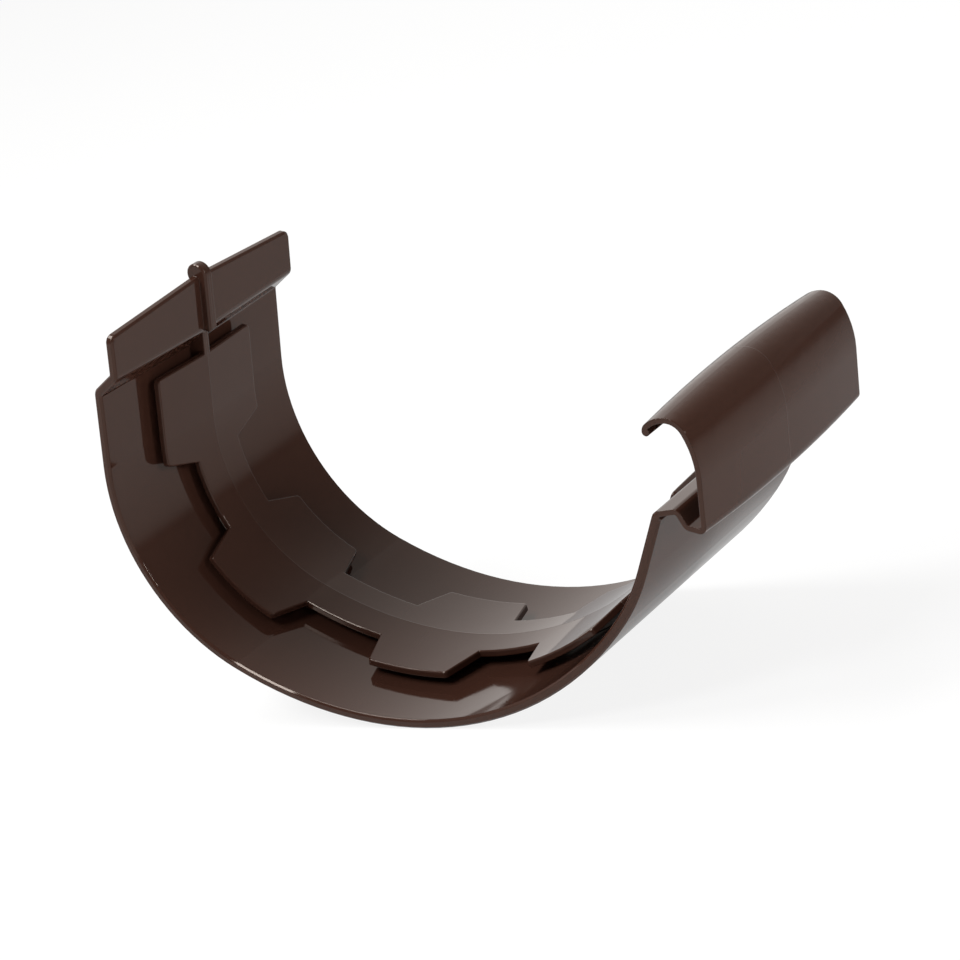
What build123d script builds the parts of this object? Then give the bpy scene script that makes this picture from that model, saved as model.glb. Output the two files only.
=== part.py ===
from build123d import *
import os
from math import atan2, cos, degrees, radians, sin

# Gutter connector: one moulded length of trough that the ends of two gutters are pushed into.
# Sizes are millimetres. X runs from the wall side to the street side, Y along the gutter, Z up.
# The section is drawn as it hangs in use, then the whole part is turned to the way it lies at rest.

# Trough
length = 69.0            # along the gutter
wall = 2.25              # thickness of the trough and of the lip
rear_straight = 18.0     # flat part of the rear wall, at the middle of the length
rear_radius = 47.9       # outer face
rear_turn = 74.7         # degrees
base_radius = 96.8
base_turn = 75.8         # degrees
front_radius = 57.8
front_turn = 14.9        # degrees
front_straight = 14.8
rim_bevel = 0.5          # bevel of the edges of the two end rims and of the lip's top

# Lip over the rear edge of the gutter
lip_height = 13.2        # straight part, at the middle of the length
lip_fall = 2.0           # how much lower the lip's top is at its two ends
ledge_climb = 1.1        # how much higher the ledge is at its two ends
lip_bend = 0.5           # inside radius where the lip meets the ledge
ledge = 6.2              # sloping step between rear wall and lip
ledge_slope = 45.0       # degrees
shoulder_radius = 3.0    # outer radius where the rear wall turns into the ledge
lip_corner = 2.0         # rounding of the lip's corners, seen from the wall side

# Stop rib across the lip, at the middle of the length
rib_width = 2.8          # along the gutter
rib_radius = 2.9         # rounded head
rib_proud = 2.0          # in front of the lip's inner face
rib_rise = 0.1           # centre of the head above the lip's top
rib_foot = 1.0           # how far the rib reaches below the lip's straight part
rib_bevel = 0.4          # bevel of its edges

# Shelf and groove at the front, then the hook over the front bead of the gutter
shelf_bend = 0.5         # outer radius where the front wall turns into the shelf
shelf = 3.8
shelf_slope = 22.5       # degrees, rise of the shelf towards the street
bead_wall = 1.2          # thickness of shelf, groove and hook
groove_bend = 1.8        # upper face
groove_side = 2.5
groove_pitch = 53.0      # degrees, fall of that side
groove_corner = 0.6      # upper face
groove_floor = 2.3
hook_corner = 0.6        # inside radius between floor and hook
hook_lean = 5.2          # degrees, how far the hook leans back
hook_straight = 11.0
hook_radius = 19.4       # inside radii from here to the tip
hook_bulge = 30.1        # degrees
hook_top_radius = 3.95
hook_top_turn = 66.0     # degrees
hook_end_radius = 7.05
hook_end_turn = 36.5     # degrees
hook_tip_radius = 1.2
hook_tip_turn = 50.0     # degrees
hook_crown = 1.2         # how much prouder the hook is at the middle of the length
tip_radius = 0.9         # rolled tip, along the whole hook

# Castellated plate that holds the gutter's ends down, carried by a web along the middle
plate = 1.6              # thickness
plate_top = 4.5          # above the inner face, at the middle of the length
plate_tip = 3.7          # above the inner face, at the tongue ends
plate_half = 17.9        # from the middle of the length to the tongue ends
band_half = 7.9          # half width of the band between tongues
plate_start = 1.0        # along the outer face, from the top of the rear wall
plate_end = 233.8        # from there too, as are the tongues' middles
tongue = 24.6            # length of a tongue's end
flank = 3.4              # how far a tongue's slanted side runs along the section
tongue_2 = 65.6
tongue_3 = 120.4
tongue_4 = 171.6
tongue_round = 1.2       # corners of the tongues
plate_bevel = 0.25       # upper edges of the plate
web = 2.0                # thickness of the web along the gutter
sunk = 0.4               # how far added forms reach into the wall they stand on


def bend_run():
    """The trough's outer face from the lip's top round to the shelf, as (size, turn) pieces.

    A piece with no turn is a straight of that length, any other is an arc of that radius.
    """
    return [
        (lip_height, 0),
        (lip_bend, -ledge_slope),
        (ledge, 0),
        (shoulder_radius, ledge_slope),
        (rear_straight, 0),
        (rear_radius, rear_turn),
        (base_radius, base_turn),
        (front_radius, front_turn),
        (front_straight, 0),
        (shelf_bend, shelf_slope - front_rise()),
    ]


def front_rise():
    """Heading of the front wall's straight top part."""
    return rear_turn + base_turn + front_turn - 90


def shelf_run():
    """Upper face of the shelf and the bend into the groove."""
    return [(shelf, 0), (groove_bend, -shelf_slope - groove_pitch)]


def hook_run():
    """Inner face of the groove's side and floor and of the hook, up to its rolled tip."""
    return [
        (groove_side, 0),
        (groove_corner, groove_pitch),
        (groove_floor, 0),
        (hook_corner, 90 + hook_lean),
        (hook_straight, 0),
        (hook_radius, hook_bulge),
        (hook_top_radius, hook_top_turn),
        (hook_end_radius, hook_end_turn),
        (hook_tip_radius, hook_tip_turn),
    ]


def piece_length(size, turn):
    return size if turn == 0 else size * abs(radians(turn))


def run_length(run):
    return sum(piece_length(size, turn) for size, turn in run)


def step(x, z, heading, size, turn):
    """Where a straight or an arc that starts at x, z ends, and its new heading."""
    if turn == 0:
        return x + size * cos(radians(heading)), z + size * sin(radians(heading)), heading
    hand = 1 if turn > 0 else -1
    ahead = heading + turn
    x += hand * size * (sin(radians(ahead)) - sin(radians(heading)))
    z -= hand * size * (cos(radians(ahead)) - cos(radians(heading)))
    return x, z, ahead


def run_end(x, z, heading, run):
    """Point and heading at the end of a run."""
    for size, turn in run:
        x, z, heading = step(x, z, heading, size, turn)
    return x, z, heading


def split_piece(size, turn, distance):
    """A piece cut in two at a distance along it."""
    share = distance / piece_length(size, turn)
    if turn == 0:
        return (distance, 0), (size - distance, 0)
    return (size, turn * share), (size, turn * (1 - share))


def split_run(run, distance):
    """The pieces of a run before and after a distance along it."""
    before = []
    for index, (size, turn) in enumerate(run):
        span = piece_length(size, turn)
        if distance < span:
            head, tail = split_piece(size, turn, distance)
            return before + [head], [tail] + run[index + 1:]
        before.append((size, turn))
        distance -= span
    return before, []


def place_at(distance):
    """Point and heading on the trough's outer face, at a distance from the top of the rear wall."""
    before, after = split_run(bend_run(), rear_wall_start() + distance)
    return (*run_end(0, 0, -90, before), after)


def rear_wall_start():
    """Distance along the outer face at which the flat rear wall starts."""
    return run_length(bend_run()[:4])


def shifted(x, z, heading, side):
    """A point moved square to a heading, to its left."""
    return x - side * sin(radians(heading)), z + side * cos(radians(heading))


def trace(x, z, heading, run, side, y):
    """Edges of a run moved to its left by side, in the plane at y."""
    x, z = shifted(x, z, heading, side)
    edges = []
    for size, turn in run:
        if turn != 0:
            size += -side if turn > 0 else side
        half_x, half_z, _ = step(x, z, heading, size / 2 if turn == 0 else size, turn / 2)
        end_x, end_z, heading = step(x, z, heading, size, turn)
        start, middle, end = Vector(x, y, z), Vector(half_x, y, half_z), Vector(end_x, y, end_z)
        if turn == 0:
            edges.append(Edge.make_line(start, end))
        else:
            edges.append(Edge.make_three_point_arc(start, middle, end))
        x, z = end_x, end_z
    return edges


def band(x, z, heading, run, outer, inner, y):
    """Flat face between two lines that follow a run, outer and inner to its left."""
    near = trace(x, z, heading, run, outer, y)
    far = trace(x, z, heading, run, inner, y)
    caps = [Edge.make_line(near[0] @ 0, far[0] @ 0), Edge.make_line(near[-1] @ 1, far[-1] @ 1)]
    return Face(Wire(near + far + caps))


def sheet(x, z, heading, run, outer, inner, half):
    """A band carried along Y to both sides of the middle."""
    return Solid.extrude(band(x, z, heading, run, outer, inner, -half), Vector(0, 2 * half, 0))


def both_halves(half):
    return half + half.mirror(Plane.XZ)


def lip_gable():
    """What is cut off the lip's top, so that it falls from the middle to both ends."""
    reach = length
    fall = lip_fall * reach / (length / 2)
    tip = Vector(-wall, 0, 0)
    corners = [tip, Vector(-wall, reach, -fall), Vector(-wall, reach, reach), Vector(-wall, 0, reach)]
    half = Solid.extrude(Face(Wire.make_polygon(corners, close=True)), Vector(4 * wall, 0, 0))
    return both_halves(half)


def rear_top():
    """Lip, ledge and upper rear wall, carried upwards as they run to both ends."""
    run = bend_run()[:4] + [(rear_straight / 2, 0)]
    section = band(0, 0, -90, run, 0, wall, 0)
    half = Solid.extrude(section, Vector(0, length / 2, ledge_climb))
    return both_halves(half) - lip_gable()


def trough():
    """Wall, lip and ledge as one bent sheet, with rounded lip corners and bevelled rims."""
    x, z, heading, rest = place_at(rear_straight / 2 - ledge_climb)
    shell = rear_top() + sheet(x, z, heading, rest, 0, wall, length / 2)
    corners = [edge for edge in shell.edges() if is_lip_corner(edge)]
    shell = shell.fillet(lip_corner, corners)
    rims = [edge for edge in shell.edges() if is_rim(edge)]
    return shell.chamfer(rim_bevel, None, rims)


def is_lip_corner(edge):
    """Short edge through the wall where the lip's top meets an end rim."""
    middle = edge @ 0.5
    at_end = abs(abs(middle.Y) - length / 2) < 0.01
    return at_end and middle.Z > -1.5 * lip_fall and abs(edge.length - wall) < 0.01


def is_rim(edge):
    """Long edges of the two end faces and of the lip's top."""
    middle = edge @ 0.5
    at_end = abs(abs(middle.Y) - length / 2) < lip_corner
    at_top = middle.Z > -1.5 * lip_fall
    return (at_end or at_top) and edge.length > 1.2 * wall


def bead():
    """Shelf, groove and hook."""
    x, z, heading = run_end(0, 0, -90, bend_run())
    x, z = shifted(x, z, heading, wall)
    body = sheet(x, z, heading, shelf_run(), -bead_wall, 0, length / 2)
    x, z, heading = run_end(x, z, heading, shelf_run())
    return body + crowned_hook(x, z, heading) + rolled_tip(x, z, heading)


def rolled_tip(x, z, heading):
    """Round bar along the hook's tip, flush with the hook's outside at its ends."""
    x, z = shifted(*run_end(x, z, heading, hook_run()), tip_radius - bead_wall)
    return Pos(x, 0, z) * Rot(90, 0, 0) * Cylinder(tip_radius, length)


def crowned_hook(x, z, heading):
    """Groove side to hook end: crowned outside along the length, straight inside."""
    outsides = []
    for y, crown in ((-length / 2, 0), (0, hook_crown), (length / 2, 0)):
        skin = trace(x, z, heading, hook_run(), -bead_wall - crown, y)
        outsides.append(Wire(skin + [Edge.make_line(skin[-1] @ 1, skin[0] @ 0)]))
    inside = trace(x, z, heading, hook_run(), 0, -length)
    past = -bead_wall - 2 * hook_crown
    beyond = trace(x, z, heading, hook_run(), past, -length)
    start, end = beyond[0] @ 0, beyond[-1] @ 1
    back = [Edge.make_line(inside[-1] @ 1, end), Edge.make_line(end, start)]
    ring = Wire(inside + back + [Edge.make_line(start, inside[0] @ 0)])
    return Solid.make_loft(outsides) - Solid.extrude(Face(ring), Vector(0, 2 * length, 0))


def plate_start_edges():
    """Distances at which each tongue's end starts and stops, from the top of the rear wall."""
    half = tongue / 2
    middles = [plate_start + half, tongue_2, tongue_3, tongue_4, plate_end - half]
    return [(middle - half, middle + half) for middle in middles]


def wedge(distance, toward, side):
    """What is cut beside a tongue's slanted side, square to the section at that place."""
    x, z, heading, _ = place_at(distance)
    along = Vector(cos(radians(heading)), 0, sin(radians(heading))) * (toward * 2 * flank)
    across = Vector(0, side * 2 * (plate_half - band_half), 0)
    foot = Vector(x, side * band_half, z)
    inward = Vector(-sin(radians(heading)), 0, cos(radians(heading)))
    corners = [foot, foot + along + across, foot - along + across, foot - along]
    base = Face(Wire.make_polygon(corners, close=True))
    return Solid.extrude(base, inward * (2 * (wall + plate_top)))


def plan_block(start, end, half):
    """Block over the wall between two distances, taller than the plate."""
    x, z, heading, rest = place_at(start)
    run, _ = split_run(rest, end - start)
    return sheet(x, z, heading, run, wall, wall + 1.5 * plate_top, half)


def tongue_block(start, end):
    """Block over one pair of tongues, cut to their slanted sides."""
    first = start < plate_start + flank
    last = end > plate_end - flank
    low = plate_start if first else start - flank
    high = plate_end if last else end + flank
    block = plan_block(low, high, plate_half)
    for side in (-1, 1):
        if not first:
            block -= wedge(low, 1, side)
        if not last:
            block -= wedge(high, -1, side)
    corners = [edge for edge in block.edges() if is_tongue_corner(edge)]
    return block.fillet(tongue_round, corners)


def is_tongue_corner(edge):
    """Straight edge square to the wall at a tongue's end."""
    middle = edge @ 0.5
    at_end = abs(abs(middle.Y) - plate_half) < 0.01
    return at_end and edge.geom_type == GeomType.LINE and edge.length > plate_top


def plate_loft(below, above):
    """Half of a sheet round the plate's upper face, which falls from the middle to the side."""
    x, z, heading, rest = place_at(plate_start)
    run, _ = split_run(rest, plate_end - plate_start)
    ends = []
    for y, top in ((0, plate_top), (plate_half, plate_tip)):
        ends.append(band(x, z, heading, run, wall + top - below, wall + top + above, y))
    return loft(ends, ruled=True)


def castellated_plate():
    plan = plan_block(plate_start, plate_end, band_half)
    for start, end in plate_start_edges():
        plan += tongue_block(start, end)
    body = both_halves(plate_loft(plate, 0)) & plan
    skin = plate_skin()
    outline = [edge for edge in body.edges() if skin.is_inside(edge @ 0.5) and is_side(edge)]
    return body.chamfer(plate_bevel, None, outline)


def plate_skin():
    """Thin body round the plate's upper face, used to find the edges that lie on it."""
    return both_halves(plate_loft(plate / 4, plate))


def is_side(edge):
    """Not a line that runs straight across the plate or along its ridge."""
    return abs((edge % 0.5).Y) < 0.98 and abs((edge @ 0.5).Y) > band_half / 2


def web_strip():
    """Thin web along the middle that carries the plate, up to the foot of the rib."""
    x, z, heading, rest = place_at(plate_start)
    run, _ = split_run(rest, plate_end - plate_start)
    under = sheet(x, z, heading, run, wall - sunk, wall + plate_top - plate / 2, web / 2)
    stem_face = x + wall + plate_top
    foot_x = x + wall - sunk
    low = z - sunk
    foot_z = z + plate_start + shoulder_radius / 2
    corners = [(foot_x, low), (stem_face, low), (stem_face, -lip_height), (foot_x, foot_z)]
    stem = Face(Wire.make_polygon([Vector(px, -web / 2, pz) for px, pz in corners], close=True))
    return under + Solid.extrude(stem, Vector(0, web, 0))


def rib():
    """Stop rib: a fin over the lip with a round head, all its edges bevelled."""
    front = wall + rib_proud
    head = Rot(90, 0, 0) * Cylinder(rib_radius, rib_width)
    head = head.chamfer(rib_bevel, None, head.edges().filter_by(GeomType.CIRCLE))
    low = -lip_height - rib_foot
    depth = rib_proud + sunk
    height = rib_rise - low
    fin = Pos(front - depth / 2, 0, low + height / 2) * Box(depth, rib_width, height)
    fin = fin.chamfer(rib_bevel, None, [edge for edge in fin.edges() if is_fin_front(edge)])
    return Pos(front - rib_radius, 0, rib_rise) * head + fin


def is_fin_front(edge):
    """Upright or lower edge of the fin's front face."""
    middle = edge @ 0.5
    return middle.X > wall + rib_proud - 0.01 and middle.Z < 0


def base_centre():
    """Centre of the base arc, under which the mass of the part hangs when it lies at rest."""
    x, z, heading = run_end(0, 0, -90, bend_run()[:6])
    return shifted(x, z, heading, base_radius)


def at_rest(body):
    """Turn the part the way it lies unheld and stand it on Z = 0 over the origin."""
    centre_x, centre_z = base_centre()
    mass = body.center(CenterOf.MASS)
    lean = degrees(atan2(mass.X - centre_x, centre_z - mass.Z))
    print("turned to its rest about Y by", round(lean, 3), "degrees")
    turned = body.rotate(Axis.Y, lean)
    box = turned.bounding_box()
    return turned.translate(Vector(-box.center().X, -box.center().Y, -box.min.Z))


def connector():
    body = trough() + bead() + web_strip() + castellated_plate() + rib()
    return at_rest(body)


os.makedirs("parts", exist_ok=True)
gutter_connector = connector()
export_step(gutter_connector, "parts/gutter_connector.step")
print("solids", len(gutter_connector.solids()), "size", gutter_connector.bounding_box().size)
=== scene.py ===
"""Looks of the gutter connector: glossy dark brown moulded plastic on a plain white floor.

Places and sizes are metres in the CAD frame, and colours are linear.
"""

import bpy
from mathutils import Matrix, Vector

# Camera, recovered from the photograph's perspective
CAMERA_PLACE = (0.431803, -0.500428, 0.262282)
CAMERA_RIGHT = (0.781186, 0.550331, -0.294761)
CAMERA_FORWARD = (-0.622908, 0.718581, -0.309235)
CAMERA_LENS = 112.5
CAMERA_SENSOR = 36.0
CAMERA_NEAREST = 0.01

# Plastic
BROWN = (0.047, 0.0190, 0.0125)
BROWN_WORN = (0.055, 0.0235, 0.0160)
GLOSS_TINT = (1.0, 0.88, 0.79)
ROUGHNESS = (0.035, 0.085)
PLASTIC_IOR = 1.46
EDGE_ROUND = 0.00035
EDGE_SAMPLES = 8

# Noise of its surface: how many waves in a metre, and the steps of finer detail in them
CLOUD_NOISE = (45.0, 4.0)
FINE_NOISE = (380.0, 5.0)
PEEL_NOISE = (150.0, 1.0)
PEEL_HEIGHT = 0.0002
PEEL_STRENGTH = 0.05

# Parting line at the middle of the length
PARTING_HALF = 0.00016
PARTING_HEIGHT = 0.00004
PARTING_STRENGTH = 0.6

# Floor: glows white to the camera, and dimmer in reflections, most of all far off on the dim side
FLOOR_SIZE = 16.0
FLOOR_PLAIN = 0.85
FLOOR_ALBEDO = 0.16
FLOOR_GLOW = 0.86
FLOOR_MIRRORED = 0.42
FLOOR_DARK = 0.05
FADE_TOWARDS = (0.743, 0.669, 0.0)
FADE_REACH = (0.0, 0.9)

# Studio: dim all round but for one bright side
BRIGHT_TOWARDS = (-0.646, 0.743, 0.174)
BRIGHT_FALL = 2.0
DIM, BRIGHT = 0.14, 1.0
STUDIO_TINT = (1.0, 0.97, 0.94)

# Square lamps: name, place, point they aim at, side, watts
LAMPS = (
    ("key", (-0.7, -0.3, 1.5), (0.0, 0.0, 0.05), 0.8, 18.0),
    ("side", (1.5, 0.0, 0.45), (0.0, 0.0, 0.06), 0.4, 8.0),
    ("front", (-0.15, -1.0, 1.4), (0.0, 0.0, 0.03), 0.45, 9.0),
)


def add(tree, kind, **inputs):
    """A node with its sockets set by name, spaces in a name written as underscores."""
    node = tree.nodes.new(kind)
    for name, value in inputs.items():
        node.inputs[name.replace("_", " ")].default_value = value
    return node


def link(tree, source, target):
    tree.links.new(source, target)


def math_node(tree, operation, first, second):
    """Outcome of an operation on two values, each a number or a socket."""
    node = tree.nodes.new("ShaderNodeMath")
    node.operation = operation
    for index, value in enumerate((first, second)):
        if isinstance(value, (int, float)):
            node.inputs[index].default_value = value
        else:
            link(tree, value, node.inputs[index])
    return node.outputs[0]


def spread(tree, source, low, high):
    """A value from 0 to 1 carried to the range from low to high."""
    node = add(tree, "ShaderNodeMapRange", To_Min=low, To_Max=high)
    link(tree, source, node.inputs["Value"])
    return node.outputs["Result"]


def smooth_step(tree, source, reach, levels):
    """A value that goes softly from one level to the other while the source crosses its reach."""
    start, end = reach
    first, last = levels
    node = add(tree, "ShaderNodeMapRange", From_Min=start, From_Max=end, To_Min=first, To_Max=last)
    node.interpolation_type = "SMOOTHSTEP"
    link(tree, source, node.inputs["Value"])
    return node.outputs["Result"]


def along(tree, vector, direction):
    """How far a vector reaches in a direction."""
    node = tree.nodes.new("ShaderNodeVectorMath")
    node.operation = "DOT_PRODUCT"
    link(tree, vector, node.inputs[0])
    node.inputs[1].default_value = direction
    return node.outputs["Value"]


def noise(tree, place, kind):
    scale, detail = kind
    node = add(tree, "ShaderNodeTexNoise", Scale=scale, Detail=detail)
    link(tree, place, node.inputs["Vector"])
    return node.outputs["Fac"]


def bump(tree, height, normal, strength, distance):
    """A surface normal with a height laid on it."""
    node = add(tree, "ShaderNodeBump", Strength=strength, Distance=distance)
    link(tree, height, node.inputs["Height"])
    link(tree, normal, node.inputs["Normal"])
    return node.outputs["Normal"]


def empty_material(name):
    """A material with nothing in it but its output."""
    material = bpy.data.materials.new(name)
    material.use_nodes = True
    tree = material.node_tree
    tree.nodes.clear()
    return material, tree, tree.nodes.new("ShaderNodeOutputMaterial")


def plastic_material():
    material, tree, output = empty_material("moulded_plastic_gloss")
    shader = add(tree, "ShaderNodeBsdfPrincipled", IOR=PLASTIC_IOR, Specular_Tint=(*GLOSS_TINT, 1.0))
    link(tree, shader.outputs["BSDF"], output.inputs["Surface"])
    place = tree.nodes.new("ShaderNodeTexCoord").outputs["Object"]

    mix = tree.nodes.new("ShaderNodeMix")
    mix.data_type = "RGBA"
    mix.inputs["A"].default_value = (*BROWN, 1.0)
    mix.inputs["B"].default_value = (*BROWN_WORN, 1.0)
    link(tree, noise(tree, place, CLOUD_NOISE), mix.inputs["Factor"])
    link(tree, mix.outputs["Result"], shader.inputs["Base Color"])

    fine = noise(tree, place, FINE_NOISE)
    link(tree, spread(tree, fine, *ROUGHNESS), shader.inputs["Roughness"])

    edge = add(tree, "ShaderNodeBevel", Radius=EDGE_ROUND)
    edge.samples = EDGE_SAMPLES
    peel = noise(tree, place, PEEL_NOISE)
    normal = bump(tree, peel, edge.outputs["Normal"], PEEL_STRENGTH, PEEL_HEIGHT)
    normal = bump(tree, parting_line(tree, place), normal, PARTING_STRENGTH, PARTING_HEIGHT)
    link(tree, normal, shader.inputs["Normal"])
    return material


def parting_line(tree, place):
    """Fine raised line that the mould's halves leave at the middle of the length."""
    split = tree.nodes.new("ShaderNodeSeparateXYZ")
    link(tree, place, split.inputs["Vector"])
    reach = math_node(tree, "ABSOLUTE", split.outputs["Y"], 0.0)
    return smooth_step(tree, reach, (0.0, PARTING_HALF), (1.0, 0.0))


def grey_diffuse(tree, level):
    return add(tree, "ShaderNodeBsdfDiffuse", Color=(level, level, level, 1.0)).outputs[0]


def floor_material():
    """Glows to the camera and in reflections, takes the object's shadow, and is plain to other light."""
    material, tree, output = empty_material("studio_floor")
    rays = tree.nodes.new("ShaderNodeLightPath").outputs
    seen = math_node(tree, "MAXIMUM", rays["Is Camera Ray"], rays["Is Glossy Ray"])
    seen = math_node(tree, "MAXIMUM", seen, rays["Is Transmission Ray"])
    shown = tree.nodes.new("ShaderNodeAddShader")
    link(tree, grey_diffuse(tree, FLOOR_ALBEDO), shown.inputs[0])
    link(tree, floor_glow(tree, rays["Is Camera Ray"]), shown.inputs[1])
    mix = tree.nodes.new("ShaderNodeMixShader")
    link(tree, seen, mix.inputs[0])
    link(tree, grey_diffuse(tree, FLOOR_PLAIN), mix.inputs[1])
    link(tree, shown.outputs[0], mix.inputs[2])
    link(tree, mix.outputs[0], output.inputs["Surface"])
    return material


def floor_glow(tree, to_camera):
    """The floor's own light: even to the camera, and fading towards the dim side in reflections."""
    place = tree.nodes.new("ShaderNodeTexCoord").outputs["Object"]
    aside = along(tree, place, FADE_TOWARDS)
    strength = tree.nodes.new("ShaderNodeMix")
    strength.data_type = "FLOAT"
    link(tree, to_camera, strength.inputs["Factor"])
    link(tree, smooth_step(tree, aside, FADE_REACH, (FLOOR_MIRRORED, FLOOR_DARK)), strength.inputs["A"])
    strength.inputs["B"].default_value = FLOOR_GLOW
    glow = tree.nodes.new("ShaderNodeEmission")
    link(tree, strength.outputs["Result"], glow.inputs["Strength"])
    return glow.outputs[0]


def add_floor():
    bpy.ops.mesh.primitive_plane_add(size=FLOOR_SIZE)
    floor = bpy.context.object
    floor.name = "studio_floor"
    floor.data.materials.append(floor_material())


def studio_world():
    """Light from all round, stronger from one side."""
    world = bpy.data.worlds.new("studio")
    bpy.context.scene.world = world
    world.use_nodes = True
    tree = world.node_tree
    way = tree.nodes.new("ShaderNodeTexCoord").outputs["Generated"]
    facing = math_node(tree, "MAXIMUM", along(tree, way, BRIGHT_TOWARDS), 0.0)
    level = spread(tree, math_node(tree, "POWER", facing, BRIGHT_FALL), DIM, BRIGHT)
    background = tree.nodes["Background"]
    background.inputs["Color"].default_value = (*STUDIO_TINT, 1.0)
    link(tree, level, background.inputs["Strength"])


def add_lamp(name, place, aim, side, watts):
    """Soft square lamp that points from its place at a point."""
    data = bpy.data.lights.new(name, "AREA")
    data.shape = "SQUARE"
    data.size = side
    data.energy = watts
    lamp = bpy.data.objects.new(name, data)
    bpy.context.scene.collection.objects.link(lamp)
    lamp.location = place
    lamp.rotation_euler = (Vector(aim) - Vector(place)).to_track_quat("-Z", "Y").to_euler()


def add_camera():
    data = bpy.data.cameras.new("camera")
    data.sensor_width = CAMERA_SENSOR
    data.lens = CAMERA_LENS
    data.clip_start = CAMERA_NEAREST
    camera = bpy.data.objects.new("camera", data)
    bpy.context.scene.collection.objects.link(camera)
    right = Vector(CAMERA_RIGHT)
    back = -Vector(CAMERA_FORWARD)
    up = back.cross(right)
    turn = Matrix((right, up, back)).transposed().to_4x4()
    camera.matrix_world = Matrix.Translation(CAMERA_PLACE) @ turn
    bpy.context.scene.camera = camera


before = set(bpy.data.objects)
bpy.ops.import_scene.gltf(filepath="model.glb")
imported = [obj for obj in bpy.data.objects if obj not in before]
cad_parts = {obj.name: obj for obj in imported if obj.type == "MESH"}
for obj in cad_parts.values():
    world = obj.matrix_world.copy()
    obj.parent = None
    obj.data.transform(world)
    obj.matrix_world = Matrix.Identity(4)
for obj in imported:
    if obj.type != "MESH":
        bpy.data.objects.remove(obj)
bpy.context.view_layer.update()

bpy.context.scene.view_settings.view_transform = "Standard"
add_camera()
studio_world()
for lamp_facts in LAMPS:
    add_lamp(*lamp_facts)
add_floor()

plastic = plastic_material()
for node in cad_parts.values():
    node.data.materials.clear()
    node.data.materials.append(plastic)
